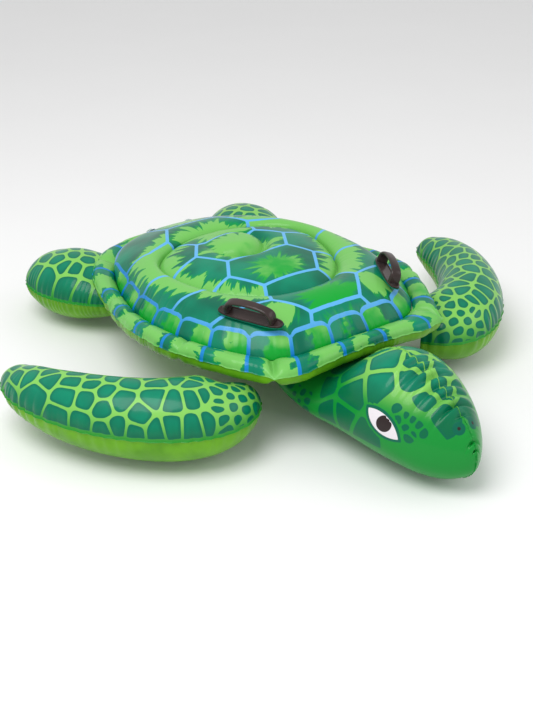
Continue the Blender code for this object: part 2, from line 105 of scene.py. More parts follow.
def creaseRadius(turn):
    dx, dy = np.sin(turn), -np.cos(turn)
    a, b, mid = plan["creaseAcross"], plan["creaseAlong"], plan["creaseY"]
    p = (dx / a) ** 2 + (dy / b) ** 2
    q = dy * mid / b**2
    bearing = np.degrees(np.arccos(np.cos(turn)))
    shoulder = plan["shoulder"] * np.exp(-((bearing - plan["shoulderAt"]) / plan["shoulderSpread"]) ** 2)
    return (q + np.sqrt(q * q - p * ((mid / b) ** 2 - 1))) / p * (1 + shoulder)


def smoothStep(value, start, end):
    k = np.clip((value - start) / (end - start), 0, 1)
    return k * k * (3 - 2 * k)


def seamZ(y):
    rise = smoothStep(y, plan["riseStart"], plan["riseEnd"])
    return plan["seamRear"] + (plan["seamFront"] - plan["seamRear"]) * rise


def ringArea(turn, radius, z):
    return np.stack([radius * np.sin(turn), -radius * np.cos(turn) + 0 * z, z + 0 * radius], -1)


def chance(number, seed):
    # a steady value from 0 to 1 for each whole number
    value = np.sin(np.round(number) * 12.9898 + seed * 78.233) * 43758.5453
    return value - np.floor(value)


def roundRun(turn, radius):
    # distance along a closed weld, alike at both ends of the round so that the pattern closes on itself
    return (np.abs(turn) + wrinkle["sideShift"] * np.sin(turn)) * radius


def pucker(run, away, pitch, reach, seed):
    # narrow grooves square to a weld: run is the distance along it, away the distance from it
    w, steps = wrinkle, run / pitch
    phase = steps + w["swing"] * np.sin(steps * w["swingRate"] + seed) \
        + w["drift"] * np.sin(steps * w["driftRate"] + seed * 2.0)
    groove = (0.5 + 0.5 * np.cos(2 * math.pi * phase)) ** w["sharpness"]
    length = reach * (w["shortest"] + w["lengthChange"] * chance(phase, seed))
    depth = w["faintest"] + w["depthChange"] * chance(phase, seed + 3)
    return groove * depth * np.exp(-(away / length) ** w["fade"])


def standing(place, ahead, up):
    # a frame at a place, with its y ahead and its z up
    z = Vector(up).normalized()
    x = Vector(ahead).cross(z).normalized()
    made = Matrix((x, z.cross(x), z)).transposed().to_4x4()
    made.translation = Vector(place)
    return made


def placed(name, data):
    made = bpy.data.objects.new(name, data)
    bpy.context.scene.collection.objects.link(made)
    return made


def filmPanel(name, columns, rows, shape, middle, printing=None, thickness=plan["film"], keep=None):
    # a flat grid moved onto its shape, with its print in attributes
    bm = bmesh.new()
    bm.loops.layers.uv.new("film")
    bmesh.ops.create_grid(bm, x_segments=columns, y_segments=rows, size=1.0, calc_uvs=True)
    mesh = bpy.data.meshes.new(name)
    bm.to_mesh(mesh)
    bm.free()
    flat = np.empty(len(mesh.vertices) * 3)
    mesh.vertices.foreach_get("co", flat)
    across, along = (flat.reshape(-1, 3)[:, :2].T + 1) / 2
    points = shape(across, along)
    points[:, 1] += planY
    mesh.vertices.foreach_set("co", points.ravel())
    for key, values in (printing(across, along) if printing else {}).items():
        kind = "FLOAT_VECTOR" if values.ndim == 2 else "FLOAT"
        layer = mesh.attributes.new(key, kind, "POINT")
        layer.data.foreach_set("vector" if values.ndim == 2 else "value", values.astype(np.float32).ravel())
    bm = bmesh.new()
    bm.from_mesh(mesh)
    if keep is not None:
        kept = keep(points)
        bmesh.ops.delete(bm, geom=[v for v, stay in zip(bm.verts, kept) if not stay], context="VERTS")
    bmesh.ops.remove_doubles(bm, verts=bm.verts, dist=1e-5)
    facing = sum(f.normal.dot(f.calc_center_median() - Vector(middle)) * f.calc_area() for f in bm.faces)
    if facing < 0:
        bmesh.ops.reverse_faces(bm, faces=bm.faces)
    bm.to_mesh(mesh)
    bm.free()
    mesh.shade_smooth()
    piece = placed(name, mesh)
    wall = piece.modifiers.new("film", "SOLIDIFY")
    wall.thickness = thickness
    wall.offset = -1.0
    wall.use_even_offset = False
    return piece


def settle(piece, body, material, slotName, *nodes, fill=None):
    piece.data.materials.clear()
    piece.data.materials.append(material)
    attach(piece, body)
    if nodes:
        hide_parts(*nodes)
    return piece


gloss = {"coatRough": 0.10, "specular": 0.13, "waveStrength": 0.6}


class Signal:
    # a shader socket that takes part in sums
    def __init__(self, finish, socket):
        self.finish = finish
        self.socket = socket

    def maths(self, operation, first, second):
        return self.finish.node("ShaderNodeMath", {"operation": operation}, {0: first, 1: second})

    def __add__(self, other):
        return self.maths("ADD", self, other)

    def __radd__(self, other):
        return self.maths("ADD", other, self)

    def __sub__(self, other):
        return self.maths("SUBTRACT", self, other)

    def __rsub__(self, other):
        return self.maths("SUBTRACT", other, self)

    def __mul__(self, other):
        return self.maths("MULTIPLY", self, other)

    def __rmul__(self, other):
        return self.maths("MULTIPLY", other, self)


class Finish:
    def __init__(self, name):
        self.material = bpy.data.materials.new(name)
        self.material.use_nodes = True
        self.tree = self.material.node_tree
        self.shader = self.tree.nodes["Principled BSDF"]

    def node(self, kind, settings=None, sockets=None, out=0):
        made = self.tree.nodes.new(kind)
        for key, value in (settings or {}).items():
            setattr(made, key, value)
        for key, value in (sockets or {}).items():
            self.feed(made.inputs[key], value)
        return Signal(self, made.outputs[out])

    def feed(self, socket, value):
        if isinstance(value, Signal):
            self.tree.links.new(value.socket, socket)
        elif isinstance(value, (tuple, list)) and socket.type == "RGBA":
            socket.default_value = (*value[:3], 1.0)
        else:
            socket.default_value = value

    def value(self, name):
        return self.node("ShaderNodeAttribute", {"attribute_name": name}, out=2)

    def vector(self, name):
        return self.node("ShaderNodeAttribute", {"attribute_name": name}, out=1)

    def place(self):
        return self.node("ShaderNodeTexCoord", out=3)

    def height(self):
        return self.node("ShaderNodeSeparateXYZ", sockets={0: self.place()}, out=2)

    def noise(self, scale, detail=2.0, vector=None):
        return self.node("ShaderNodeTexNoise", sockets={"Vector": vector or self.place(), "Scale": scale,
                                                        "Detail": detail})

    def ramp(self, value, low, high):
        return self.node("ShaderNodeMapRange", {"interpolation_type": "SMOOTHSTEP"},
                         {0: value, 1: low, 2: high, 3: 0.0, 4: 1.0})

    def mix(self, share, first, second, blend="MIX"):
        return self.node("ShaderNodeMix", {"data_type": "RGBA", "blend_type": blend},
                         {0: share, 6: first, 7: second}, out=2)

    def surface(self, colour, rough, roughChange=0.08, bump=0.0004, bumpScale=60.0, coat=0.0, grain=2.0):
        patchy = self.noise(bumpScale * 0.25, 3.0)
        self.feed(self.shader.inputs["Base Color"], colour)
        self.feed(self.shader.inputs["Roughness"], patchy * (roughChange * 2) + (rough - roughChange))
        self.shader.inputs["Coat Weight"].default_value = coat
        self.shader.inputs["Coat Roughness"].default_value = gloss["coatRough"]
        self.shader.inputs["Specular IOR Level"].default_value = gloss["specular"]
        wave = self.node("ShaderNodeBump", sockets={"Strength": gloss["waveStrength"], "Distance": bump,
                                                    "Height": self.noise(bumpScale, grain)})
        self.feed(self.shader.inputs["Normal"], wave)
        return self.material


def paint(red, green, blue):
    # screen colour, 0 to 255, as the linear colour that a shader takes
    return tuple((v / 255 / 12.92) if v < 10.3 else ((v / 255 + 0.055) / 1.055) ** 2.4 for v in (red, green, blue))


inks = {
    "teal": paint(0, 130, 98), "tealDeep": paint(0, 98, 74), "leaf": paint(112, 186, 90),
    # painted shade: the darker of the two blues colours the lower parts of the blue lines
    "grass": paint(8, 156, 48), "skyTop": paint(92, 172, 226), "skyShaded": paint(14, 124, 196),
    # painted shade: the dark net ink, the head ink and the dark scute ink on these two lines colour the lower sides
    # of the flippers and the head
    "net": paint(126, 194, 88), "netShaded": paint(22, 138, 40), "lime": paint(106, 172, 28),
    "limeDark": paint(82, 146, 20), "head": paint(18, 140, 52), "scuteShaded": paint(0, 104, 62),
    "eyeWhite": paint(226, 220, 226), "pupil": paint(46, 36, 36), "handle": paint(62, 50, 48),
    "handleDark": paint(44, 35, 34), "clear": paint(226, 234, 230), "clearDark": paint(200, 214, 208),
    "inner": paint(214, 226, 208), "floor": (0.86, 0.86, 0.86), "floorLight": (0.88, 0.88, 0.88),
}
vinyl = {"rough": 0.31, "roughChange": 0.06, "coat": 0.18, "wave": 0.0007, "waveScale": 34.0}
shellInk = {
    "fingers": 2.6, "toneChange": 1.3, "glow": 0.55,    # feathered edges, leaf tones, glow beside a leaf
    "lineFull": 0.0038, "lineEnd": 0.0050, "lineWobble": 0.0008,    # half widths of the blue lines
    # heights between which the blue lines' painted shade gives way to their lit colour
    "skyLowAt": 0.215, "skyTopAt": 0.275,
}
scuteInk = {"wobble": 0.0014, "edgeEnd": 0.009, "middle": 0.6, "blur": 0.0004,
            "lidFrom": -0.0066, "lidTo": -0.0058, "nostrilFrom": 0.0095, "nostrilTo": 0.0105}


def vinylFinish(made, colour):
    return made.surface(colour, vinyl["rough"], vinyl["roughChange"], vinyl["wave"], vinyl["waveScale"],
                        vinyl["coat"])


def shellFinish():
    made = Finish("printedShadedShellFilm")
    fingers = made.noise(1.0, 3.0, made.vector("spread"))
    edge = 1.0 + (fingers - 0.5) * shellInk["fingers"] - made.value("patch")
    tone = made.value("tone") + (made.noise(12.0, 3.0) - 0.5) * shellInk["toneChange"]
    leafy = made.mix(made.ramp(tone, 0.30, 0.75), inks["leaf"], inks["grass"])
    deep = made.mix(made.ramp(made.noise(9.0, 2.0), 0.3, 0.7), inks["teal"], inks["tealDeep"])
    deep = made.mix(made.ramp(edge, -0.30, -0.05) * shellInk["glow"], deep, inks["grass"])
    colour = made.mix(made.ramp(edge, -0.02, 0.02), deep, leafy)
    # painted shade: the blue lines go from the darker blue low down to the lighter blue high up, so their lower
    # parts look shaded and their upper parts lit
    lift = made.ramp(made.height(), shellInk["skyLowAt"], shellInk["skyTopAt"])
    sky = made.mix(lift, inks["skyShaded"], inks["skyTop"])
    wobble = (made.noise(120.0, 1.0) - 0.5) * shellInk["lineWobble"]
    line = made.ramp(made.value("outline") + wobble, shellInk["lineEnd"], shellInk["lineFull"])
    colour = made.mix(line, colour, sky)
    return vinylFinish(made, colour)


def scuteFinish(name, ground, groundShaded, lowAt, highAt, eyed=False):
    made = Finish(name)
    # painted shade: from lowAt up to highAt the net and the scutes go from darker colours to lighter ones, so the
    # lower sides look shaded and the tops lit
    lift = made.ramp(made.height(), lowAt, highAt)
    net = made.mix(lift, groundShaded, ground)
    wobble = (made.noise(70.0, 2.0) - 0.5) * scuteInk["wobble"]
    edge = made.value("scute") + wobble
    low = made.mix(lift, inks["scuteShaded"], inks["teal"])
    scute = made.mix(made.ramp(made.noise(16.0, 2.0), 0.3, 0.75) * 0.5, low, inks["tealDeep"])
    inward = made.ramp(edge, 0.001, scuteInk["edgeEnd"]) * scuteInk["middle"] + (1 - scuteInk["middle"])
    scute = made.mix(inward, inks["tealDeep"], scute)
    blur = scuteInk["blur"]
    colour = made.mix(made.ramp(edge, -blur, blur), net, scute)
    if eyed:
        lens = made.value("eye")
        lid = made.ramp(lens + wobble, scuteInk["lidFrom"], scuteInk["lidTo"])
        colour = made.mix(lid, colour, inks["tealDeep"])
        colour = made.mix(made.ramp(lens, -blur, blur), colour, inks["eyeWhite"])
        colour = made.mix(made.ramp(made.value("pupil"), -blur, blur), colour, inks["pupil"])
        nostril = made.value("nostril")
        colour = made.mix(made.ramp(nostril, -0.0005, 0.0005), colour, inks["tealDeep"])
        opening = made.ramp(nostril, scuteInk["nostrilFrom"], scuteInk["nostrilTo"])
        colour = made.mix(opening, colour, inks["pupil"])
    return vinylFinish(made, colour)


def plainFinish(name, ink, otherInk, rough, coat=0.1, bump=0.0004, scale=60.0, grain=2.0):
    made = Finish(name)
    colour = made.mix(made.ramp(made.noise(14.0, 3.0), 0.3, 0.75), ink, otherInk)
    return made.surface(colour, rough, 0.07, bump, scale, coat, grain)


finishes = {
    "shell": shellFinish(),
    "flipper": scuteFinish("printedShadedFlipperFilm", inks["net"], inks["netShaded"], 0.10, 0.17),
    "head": scuteFinish("printedShadedHeadFilm", inks["net"], inks["head"], 0.17, 0.235, eyed=True),
    "lime": plainFinish("limeFilm", inks["lime"], inks["limeDark"], vinyl["rough"], vinyl["coat"], vinyl["wave"],
                        vinyl["waveScale"]),
    "inner": plainFinish("innerFilm", inks["inner"], inks["leaf"], 0.35),
    "handle": plainFinish("handleVinyl", inks["handle"], inks["handleDark"], 0.30, 0.3, 0.00008, 700.0, 3.0),
    "patch": plainFinish("weldPatchFilm", inks["tealDeep"], inks["teal"], 0.34),
    "valve": plainFinish("valveVinyl", inks["clear"], inks["clearDark"], 0.36, 0.15, 0.0002, 300.0),
}
print("finishes made")

# the shell: seat, big ring and belly
shell = {
    "cells": 220,           # grid cells across the shell
    "seatShare": 0.5,       # share of the grid's half that the seat takes
    "seatSwell": 0.046, "ringBulge": 0.050, "frontLift": 0.014, "overhang": 0.018,
    "domeY": 0.108, "domeRadius": 0.078, "domeDip": 0.042, "domeWidth": 0.015, "wallPull": 0.009,
    "domeLift": 0.006, "grooveLeast": 0.25, "puckerDepth": 0.0026, "puckerPitch": 0.024, "puckerWidening": 1.5,
    "weldRun": 0.36, "ringAcross": 0.16,    # mean radius of the weld, and the film's way from crease to weld
    # the belly: shares of the weld's radius and of the seam's height
    "belly": ((0.0, 0.0), (0.22, 0.0), (0.31, 0.06), (0.45, 0.19), (0.62, 0.37), (0.78, 0.58), (0.90, 0.79),
              (0.975, 0.93), (1.0, 1.0)),
    "bellyPucker": 0.002, "bellyPitch": 0.022,
}
scutes = {
    # half zigzag between the middle row of scutes and the side rows: (y, x)
    "zigzag": ((-0.376, 0.108), (-0.318, 0.074), (-0.236, 0.128), (-0.142, 0.082), (-0.060, 0.131),
               (0.004, 0.092), (0.081, 0.137), (0.150, 0.092), (0.238, 0.128), (0.325, 0.078), (0.470, 0.104)),
    "crossY": (-0.318, -0.142, 0.004, 0.150, 0.325),
    # seams of the side scutes, from the zigzag's outer corners to the border
    "side": (((0.128, -0.236), (0.215, -0.215), (0.292, -0.190)),
             ((0.131, -0.060), (0.235, -0.082), (0.330, -0.062)),
             ((0.137, 0.081), (0.240, 0.050), (0.328, 0.088)), ((0.128, 0.238), (0.205, 0.200), (0.285, 0.225))),
    # middle row's patches: (y, radius, tone)
    "patches": ((-0.415, 0.075, 1.0), (-0.285, 0.058, 0.9), (-0.082, 0.056, 0.55), (0.066, 0.078, 0.35),
                (0.215, 0.085, 0.1), (0.38, 0.05, 0.3)),
    "joints": (8, 24, 38.5, 53, 69, 86, 107, 125, 142, 160),    # degrees from the nose where border scutes meet
    "borderWide": 0.21, "leafOut": 0.040, "leafIn": 0.050,      # the border's width, and how far side leaves reach
    "star": (0.140, -0.285, 0.040),         # the leaf on each front shoulder: x, y, radius
    "borderAt": 0.745, "borderDip": 0.06,
}


def discFromSquare(across, along):
    x, y = across * 2 - 1, along * 2 - 1
    wide = np.abs(x) >= np.abs(y)
    with np.errstate(divide="ignore", invalid="ignore"):
        lean = np.where(wide, np.where(x == 0, 0, y / x), np.where(y == 0, 0, x / y)) * math.pi / 4
    angle = np.where(wide, lean + np.where(x < 0, math.pi, 0), math.pi / 2 - lean + np.where(y < 0, math.pi, 0))
    return np.maximum(np.abs(x), np.abs(y)), (angle + math.pi) % (2 * math.pi) - math.pi


def shellWhere(across, along):
    reach, turn = discFromSquare(across, along)
    share = np.clip(reach / shell["seatShare"], 0, 1)
    ring = np.clip((reach - shell["seatShare"]) / (1 - shell["seatShare"]), 0, 1)
    return turn, share, ring


def seatHeight(x, y, share):
    fromMiddle = np.hypot(x, y - shell["domeY"])
    fromWeld = fromMiddle - shell["domeRadius"]
    bearing = np.arctan2(x, -(y - shell["domeY"]))
    least = shell["grooveLeast"]
    strength = least + (1 - least) * smoothStep(np.cos(bearing - 0.75), -0.55, 0.25)    # it fades towards one side
    groove = shell["domeDip"] * np.exp(-np.abs(fromWeld / shell["domeWidth"]) ** 1.3) * strength
    dome = shell["domeLift"] * smoothStep(fromWeld, 0.0, -0.05)
    swell = shell["seatSwell"] * (1 - np.minimum(share, 1) ** 3.2) ** 0.55
    return plan["creaseZ"] + swell - groove * (1 - share) + dome


def ringShape(turn, u):
    inner, outer = creaseRadius(turn), weldRadius(turn) - plan["gap"]
    sweep = math.pi * u
    radius = (inner + outer) / 2 - (outer - inner) / 2 * np.cos(sweep)
    weldZ = seamZ(-outer * np.cos(turn))
    swell = shell["ringBulge"] + shell["frontLift"] * np.maximum(np.cos(turn), 0) ** 2
    base = plan["creaseZ"] + (weldZ - plan["creaseZ"]) * (1 - np.cos(sweep)) / 2
    outerHalf = np.maximum(-np.cos(sweep), 0)
    rear = smoothStep(-np.cos(turn), 0.55, 0.85)        # the valves' stretch keeps its full overhang
    hang = shell["overhang"] * rear - shell["wallPull"] * (1 - rear)
    radius = radius + hang * np.sin(2 * sweep) ** 2 * (outerHalf > 0)
    z = base + swell * np.maximum(np.sin(sweep), 0) ** (1 - 0.3 * outerHalf * rear)
    run, across = roundRun(turn, shell["weldRun"]), shell["ringAcross"]
    low = pucker(run, (1 - u) * across, shell["puckerPitch"], 0.045, 1.0) * smoothStep(1 - u, 0.0, 0.07)
    high = pucker(run, u * across, shell["puckerPitch"] * shell["puckerWidening"], 0.030, 2.0)
    radius = radius - shell["puckerDepth"] * 1.6 * low * (1 - 0.9 * rear)
    z = z - shell["puckerDepth"] * 0.7 * high
    return ringArea(turn, radius, z)


def shellTopShape(across, along):
    turn, share, ring = shellWhere(across, along)
    radius = creaseRadius(turn) * share
    x, y = radius * np.sin(turn), -radius * np.cos(turn)
    z = seatHeight(x, y, share)
    pitch = shell["puckerPitch"] * shell["puckerWidening"]
    z = z - shell["puckerDepth"] * 0.7 * pucker(roundRun(turn, 0.22), (1 - share) * 0.22, pitch, 0.03, 5.0)
    seat = np.stack([x, y, z], -1)
    return np.where((ring > 0)[:, None], ringShape(turn, ring), seat)


def distanceToLine(x, y, corners):
    best = np.full(x.shape, 1.0)
    for (ax, ay), (bx, by) in zip(corners, corners[1:]):
        dx, dy = bx - ax, by - ay
        k = np.clip(((x - ax) * dx + (y - ay) * dy) / (dx * dx + dy * dy), 0, 1)
        best = np.minimum(best, np.hypot(x - ax - k * dx, y - ay - k * dy))
    return best


def borderPlace(turn):
    # which border scute a bearing is in: 0 to 1 across it, its number, and the distance to its nearest end
    degrees = np.degrees(np.abs((turn + math.pi) % (2 * math.pi) - math.pi))
    ends = np.array([-scutes["joints"][0], *scutes["joints"], 360 - scutes["joints"][-1]], float)
    i = np.clip(np.searchsorted(ends, degrees) - 1, 0, len(ends) - 2)
    within = (degrees - ends[i]) / (ends[i + 1] - ends[i])
    toEnd = np.radians(np.minimum(degrees - ends[i], ends[i + 1] - degrees))
    return within, i, toEnd


def shellPrint(across, along):
    turn, share, ring = shellWhere(across, along)
    points = shellTopShape(across, along)
    x, y = np.abs(points[:, 0]), points[:, 1]
    radius = np.hypot(x, y)
    within, number, toEnd = borderPlace(turn)
    borderLine = scutes["borderAt"] + scutes["borderDip"] * np.abs(2 * within - 1) ** 6
    zig = scutes["zigzag"]
    zigY, zigX = zip(*zig)
    lines = distanceToLine(x, y, [(b, a) for a, b in zig])
    for crossY in scutes["crossY"]:
        edge = np.interp(crossY, zigY, zigX)
        lines = np.minimum(lines, distanceToLine(x, y, [(0, crossY), (edge, crossY)]))
    for corners in scutes["side"]:
        lines = np.minimum(lines, distanceToLine(x, y, corners))
    inBorder = ring > borderLine
    toBorder = np.abs(ring - borderLine) * scutes["borderWide"]
    outline = np.where(inBorder, np.minimum(toBorder, toEnd * radius), np.minimum(lines, toBorder))
    middleRow = x < np.interp(y, zigY, zigX)
    cell = np.searchsorted(scutes["crossY"], y)
    patchY, patchR, patchTone = np.array(scutes["patches"]).T[:, np.clip(cell, 0, len(scutes["patches"]) - 1)]
    dx, dy = points[:, 0], y - patchY
    away, angle = np.hypot(dx * 0.85, dy * 1.15), np.arctan2(dy, dx)
    rowSpread = np.stack([4.2 * np.cos(angle), 4.2 * np.sin(angle), cell * 5.3 + away * 6], -1)
    fromCrease = radius - creaseRadius(turn) - 0.016
    sideSpread = np.stack([turn * 15 + np.abs(fromCrease) * 16,
                           np.sign(fromCrease) * 3 + fromCrease * 8, turn * 0], -1)
    sidePatch = np.abs(fromCrease) / np.where(fromCrease > 0, scutes["leafOut"], scutes["leafIn"])
    starX, starY, starRadius = scutes["star"]
    frontStar = np.hypot(x - starX, y - starY) / starRadius
    front = (y < -0.236) & ~middleRow & (ring > 0)
    sidePatch = np.where(front, np.minimum(frontStar, sidePatch + 0.6), sidePatch)
    borderSpread = np.stack([ring * 8, number * 4.7 + within * 3.5, np.sin(turn) * 5], -1)
    isRow = (middleRow & ~inBorder)[:, None]
    isBorder = inBorder[:, None]
    return {
        "outline": outline,
        "patch": np.where(inBorder, 1 + (within / 0.55 - 1) * 2.4, np.where(middleRow, away / patchR, sidePatch)),
        "tone": np.where(inBorder, 0.45 + 0.5 * smoothStep(ring, 0.8, 1.0), np.where(middleRow, patchTone, 0.1)),
        "spread": np.where(isBorder, borderSpread, np.where(isRow, rowSpread, sideSpread)),
    }


def bellyShape(across, along):
    reach, turn = discFromSquare(across, along)
    outs, ups = zip(*shell["belly"])
    weld = weldRadius(turn) - plan["gap"]
    height = np.interp(reach, outs, ups) * seamZ(-weld * np.cos(turn))
    folds = pucker(roundRun(turn, shell["weldRun"]), (1 - reach) * 0.3, shell["bellyPitch"], 0.05, 7.0)
    radius = weld * reach - shell["bellyPucker"] * (folds * smoothStep(1 - reach, 0.0, 0.04))
    return ringArea(turn, radius, np.maximum(height - plan["gap"] / 3, 0.0))


valve = {
    # where the CAD's shell valve stands; the limb valve mirrors it
    "place": (0.062011, 0.527574, 0.211056), "up": (0.109037, 0.772990, 0.624978),
    "filmHole": 0.0088,
    # profiles of (radius, height above the film)
    "flange": ((0.0056, 0.0), (0.0150, 0.0), (0.0150, 0.0007), (0.0128, 0.0010), (0.0122, 0.0018), (0.0082, 0.0018),
               (0.0076, 0.0020), (0.0056, 0.0020)),
    "tube": ((0.0038, -0.0130), (0.0052, -0.0130), (0.0052, 0.0048), (0.00535, 0.0052), (0.0052, 0.0060),
             (0.0038, 0.0060)),
    "stopper": ((0.0, 0.0013), (0.0031, 0.0013), (0.0034, 0.0028), (0.0034, 0.0063), (0.0070, 0.0063),
                (0.0070, 0.0079), (0.0060, 0.0087), (0.0042, 0.0087), (0.0036, 0.0081), (0.0, 0.0081)),
    "flap": ((0.0, -0.0141), (0.0043, -0.0141), (0.0046, -0.0139), (0.0046, -0.0133), (0.0, -0.0133)),
    "tether": {"low": 0.0070, "thick": 0.0010, "width": 0.0040, "reach": 0.0045, "drop": 0.0032, "start": 0.0073},
}
valveUp = Vector(valve["up"])
valveSide = valveUp.cross(Vector((0, 0, 1)))
valveFrame = standing(valve["place"], valveUp.cross(valveSide), valveUp)


def clearOfValves(points):
    # the film is open under each valve's flange
    place = points * (1, 1, 1)
    place[:, 0] = np.abs(place[:, 0])
    return np.linalg.norm(place - np.array(valve["place"]), axis=1) > valve["filmHole"]


shellTop = filmPanel("shell_film_top", shell["cells"], shell["cells"], shellTopShape, (0, planY, 0), shellPrint,
                     keep=clearOfValves)
settle(shellTop, "float", finishes["shell"], "printed_shell_film", "shell_top_panel", fill=0.95)
belly = filmPanel("shell_film_belly", 120, 120, bellyShape, (0, planY, 0.4))
settle(belly, "float", finishes["lime"], "lime_film", "shell_bottom_panel", fill=0.95)
print("shell made")

# the rim: the air tube round the shell
rim = {
    "halfHeight": 0.025, "innerHeight": 0.019, "columns": 900, "rows": 22, "flange": 0.0025,
    "pinches": (31, -31, 62, -62, -100, 100, -118, 118, 150, -150),      # degrees, where the tube is drawn in
    "corner": 31, "frontLift": 0.006, "puckerDepth": 0.0026,
    "hang": 0.008, "bulge": 0.007,      # how far the underside hangs below and beyond the seam
    "liftWidth": 0.30, "lipFrom": 0.94, "lipShare": 0.06, "weldRun": 0.41,
    "pinchWidth": 1.6, "pinchIn": 0.003, "pinchFlat": 0.35, "notchWidth": 0.9, "notchOut": 0.006, "notchFlat": 0.78,
    "rippleOut": 0.0012, "rippleUp": 0.0008,
}


def rimShape(side):
    def shape(across, along):
        turn = (across * 2 - 1) * math.pi
        reach = np.clip(along / rim["lipFrom"], 0, 1)
        beyond = np.clip((along - rim["lipFrom"]) / rim["lipShare"], 0, 1) * rim["flange"]
        degrees = np.degrees(turn)
        drawn = sum(np.exp(-((degrees - at) / rim["pinchWidth"]) ** 2) for at in rim["pinches"])
        pinched = np.clip(drawn, 0, 1)
        notch = np.exp(-((np.abs(degrees) - rim["corner"]) / rim["notchWidth"]) ** 2)
        inner = weldRadius(turn) + plan["gap"]
        run = roundRun(turn, rim["weldRun"])
        outer = rimRadius(turn) - rim["pinchIn"] * pinched + rim["notchOut"] * notch \
            + rim["rippleOut"] * np.sin(run / 0.011)
        zIn, zOut = seamZ(-inner * np.cos(turn)), seamZ(-outer * np.cos(turn))
        lift = rim["frontLift"] * np.exp(-(turn / rim["liftWidth"]) ** 2)
        sweep = math.pi * reach
        mixed = (1 - np.cos(sweep)) / 2
        folds = pucker(run, (1 - reach) * 0.08, 0.016, 0.020, 11.0) * rim["puckerDepth"]
        tall = rim["innerHeight"] + (rim["halfHeight"] - rim["innerHeight"]) * mixed
        tall = tall * (1 - rim["pinchFlat"] * pinched) * (1 - rim["notchFlat"] * notch) - folds
        tall = tall + (rim["hang"] * smoothStep(mixed, 0.2, 0.7) if side < 0 else 0.0)
        radius = inner + (outer - inner) * mixed + beyond - folds * 0.6 * mixed
        z = zIn + (zOut - zIn) * mixed + lift * mixed + side * (tall * np.sin(sweep) + 0.0003)
        radius = radius + (rim["bulge"] * np.sin(sweep) * mixed if side < 0 else 0.0)
        z = z + rim["rippleUp"] * np.sin(run / 0.005) * smoothStep(reach, 0.9, 1.0)
        return ringArea(turn, radius, z)
    return shape


def rimPrint(across, along):
    turn = (across * 2 - 1) * math.pi
    within, number, toEnd = borderPlace(turn)
    radius = rimRadius(turn) - 0.02
    spread = np.stack([along * 5, number * 3.7 + within * 4, np.sin(turn) * 5], -1)
    return {"outline": toEnd * radius, "patch": np.abs(within - 0.38) / 0.30, "tone": 0.25 + 0 * turn,
            "spread": spread}


for side, word, finish, slotName in ((1, "top", "shell", "printed_rim_film"), (-1, "bottom", "lime", "lime_film")):
    ringPiece = filmPanel(f"rim_film_{word}", rim["columns"], rim["rows"], rimShape(side), (0, planY, 0.19),
                          rimPrint if side > 0 else None, thickness=0.0004)
    settle(ringPiece, "float", finishes[finish], slotName, f"rim_{word}_panel", fill=0.9)
print("rim made")

limbSeam = {"share": 0.035, "lip": 0.0025, "ripple": 0.0012, "plain": 0.060}     # shares of the way round a flipper
frontFlipper = {
    "name": "front_flipper", "z": 0.110, "columns": 300, "rows": 64,
    "spine": ((0.285, -0.325), (0.390, -0.460), (0.702, -0.100), (0.650, 0.096)),
    "width": ((0.0, 0.050), (0.25, 0.083), (0.50, 0.091), (0.75, 0.076), (0.90, 0.055), (0.97, 0.033), (1.0, 0.010)),
    "inner": ((0.0, 0.070), (0.25, 0.050), (0.45, 0.0), (1.0, 0.0)),
    "height": ((0.0, 0.050), (0.25, 0.086), (0.50, 0.092), (0.75, 0.074), (0.90, 0.048), (0.97, 0.026), (1.0, 0.0)),
    # scutes: station along the flipper, then bearings over its back (0 is the outer seam)
    "scutes": ((0.02, 30, 55, 80), (0.07, 20, 48, 74, 100), (0.115, 8, 27, 50, 80, 108),
               (0.155, 2, 20, 40, 62, 92, 118), (0.20, 10, 27, 42, 56, 74, 104, 130), (0.245, 26, 66, 112), (0.295, 20, 63, 100, 132),
               (0.345, 21, 63, 102, 135), (0.40, 20, 60, 98, 128), (0.445, 10, 37, 112, 145),
               (0.485, 21, 55, 90, 124),
               (0.54, 8, 38, 70, 98, 138), (0.595, 18, 49, 76, 100, 122, 150), (0.66, 16, 46, 77, 104, 146),
               (0.72, 76, 124), (0.755, 31, 92, 150), (0.80, 70, 112), (0.86, 12, 62, 96, 135), (0.92, 40, 82, 122),
               (0.965, 30, 90, 150)),
    "netHalf": 0.0030, "jitter": 0.8,
}
hindFlipper = {
    "name": "hind_flipper", "z": 0.101, "columns": 170, "rows": 60,
    "spine": ((0.200, 0.330), (0.255, 0.400), (0.300, 0.495), (0.338, 0.630)),
    "width": ((0.0, 0.085), (0.25, 0.108), (0.50, 0.120), (0.75, 0.108), (0.92, 0.066), (1.0, 0.012)),
    "inner": ((0.0, 0.0), (1.0, 0.0)),
    "height": ((0.0, 0.046), (0.25, 0.070), (0.50, 0.088), (0.75, 0.080), (0.92, 0.046), (1.0, 0.0)),
    "scutes": ((0.15, 25, 60, 95, 130), (0.31, 33, 66, 100, 140), (0.42, 32, 88, 120, 150), (0.46, 62, 105),
               (0.56, 84, 118, 146), (0.54, 58), (0.64, 38, 72, 104), (0.70, 92, 132), (0.78, 34, 72, 108, 148),
               (0.88, 55, 92, 125), (0.95, 30, 90, 150)),
    "netHalf": 0.0040, "jitter": 0.6,
}


